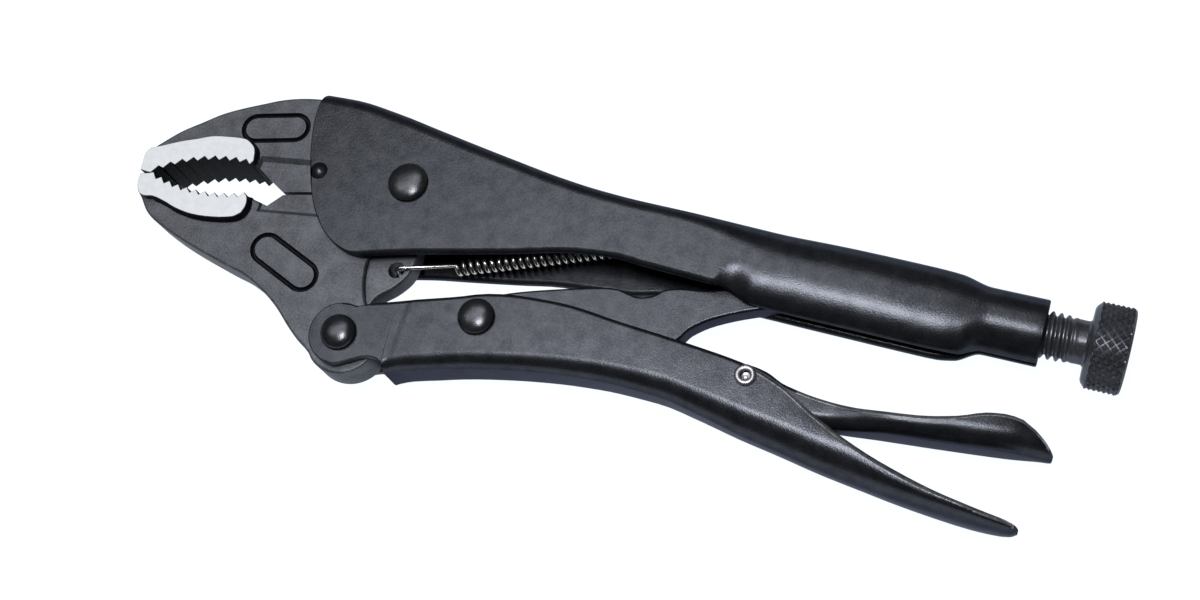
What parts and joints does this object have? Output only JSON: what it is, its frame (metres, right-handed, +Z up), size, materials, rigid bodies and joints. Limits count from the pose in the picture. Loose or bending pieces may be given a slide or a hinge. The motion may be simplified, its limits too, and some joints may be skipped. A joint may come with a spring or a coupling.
{
  "type": "locking pliers",
  "caption": "Curved-jaw locking pliers with pressed channel handles, toggle link, release lever, return spring and a knurled adjusting screw, lying flat in the locked position.",
  "frame": {"origin": "middle of the bounding box in X and Y, at the level of the lowest rivet heads in Z; the tool lies on its side", "axes": "+X along the adjusting screw from the jaws to the knob, +Y towards the back of the upper handle, +Z up, square to the tool's flat side and along every hinge pin"},
  "size_m": [0.2478, 0.0698, 0.0203],
  "materials": {
    "phosphated_sheet": "satin black phosphate on pressed steel sheet",
    "forged_steel": "satin black phosphate on a forging, jaw side pads ground bright",
    "spring_wire": "bright nickel plated wire",
    "screw_steel": "black oxide, knurled head",
    "rivet_steel": "dark polished dome heads",
    "bright_rivet": "bright rolled ends"
  },
  "bodies": {
    "upper_body": {"upper_handle": "phosphated_sheet", "fixed_jaw": "forged_steel", "jaw_pivot_rivet": "rivet_steel", "return_spring": "spring_wire"},
    "jaw_body": {"moving_jaw": "forged_steel", "handle_pivot_rivet": "rivet_steel"},
    "lower_body": {"lower_handle": "phosphated_sheet", "link_pivot_rivet": "rivet_steel", "release_lever_rivet": "bright_rivet"},
    "link_body": {"toggle_link": "phosphated_sheet"},
    "lever_body": {"release_lever": "phosphated_sheet"},
    "screw_body": {"adjusting_screw": "screw_steel"}
  },
  "joints": [
    {"name": "jaw_pivot", "type": "hinge", "parent": "upper_body", "child": "jaw_body", "pos_m": [-0.05045, 0.01505, 0.01015], "axis": [0, 0, 1], "range_deg": [0, 25], "deforming": ["return_spring"]},
    {"name": "handle_pivot", "type": "hinge", "parent": "jaw_body", "child": "lower_body", "pos_m": [-0.05455, -0.02575, 0.01015], "axis": [0, 0, 1], "range_deg": [-74.4, 0]},
    {"name": "link_pivot", "type": "hinge", "parent": "lower_body", "child": "link_body", "pos_m": [-0.02255, -0.01405, 0.01015], "axis": [0, 0, 1], "range_deg": [0, 69.9]},
    {"name": "release_lever_pivot", "type": "hinge", "parent": "lower_body", "child": "lever_body", "pos_m": [0.04325, -0.01255, 0.01015], "axis": [0, 0, 1], "range_deg": [-6, 0]},
    {"name": "screw_travel", "type": "slide", "parent": "upper_body", "child": "screw_body", "axis": [1, 0, 0], "range_m": [0, 0.018]}
  ],
  "couplings": [
    {"joint": "handle_pivot", "follows": "jaw_pivot", "ratio": -2.9732},
    {"joint": "link_pivot", "follows": "jaw_pivot", "ratio": 2.7919}
  ]
}
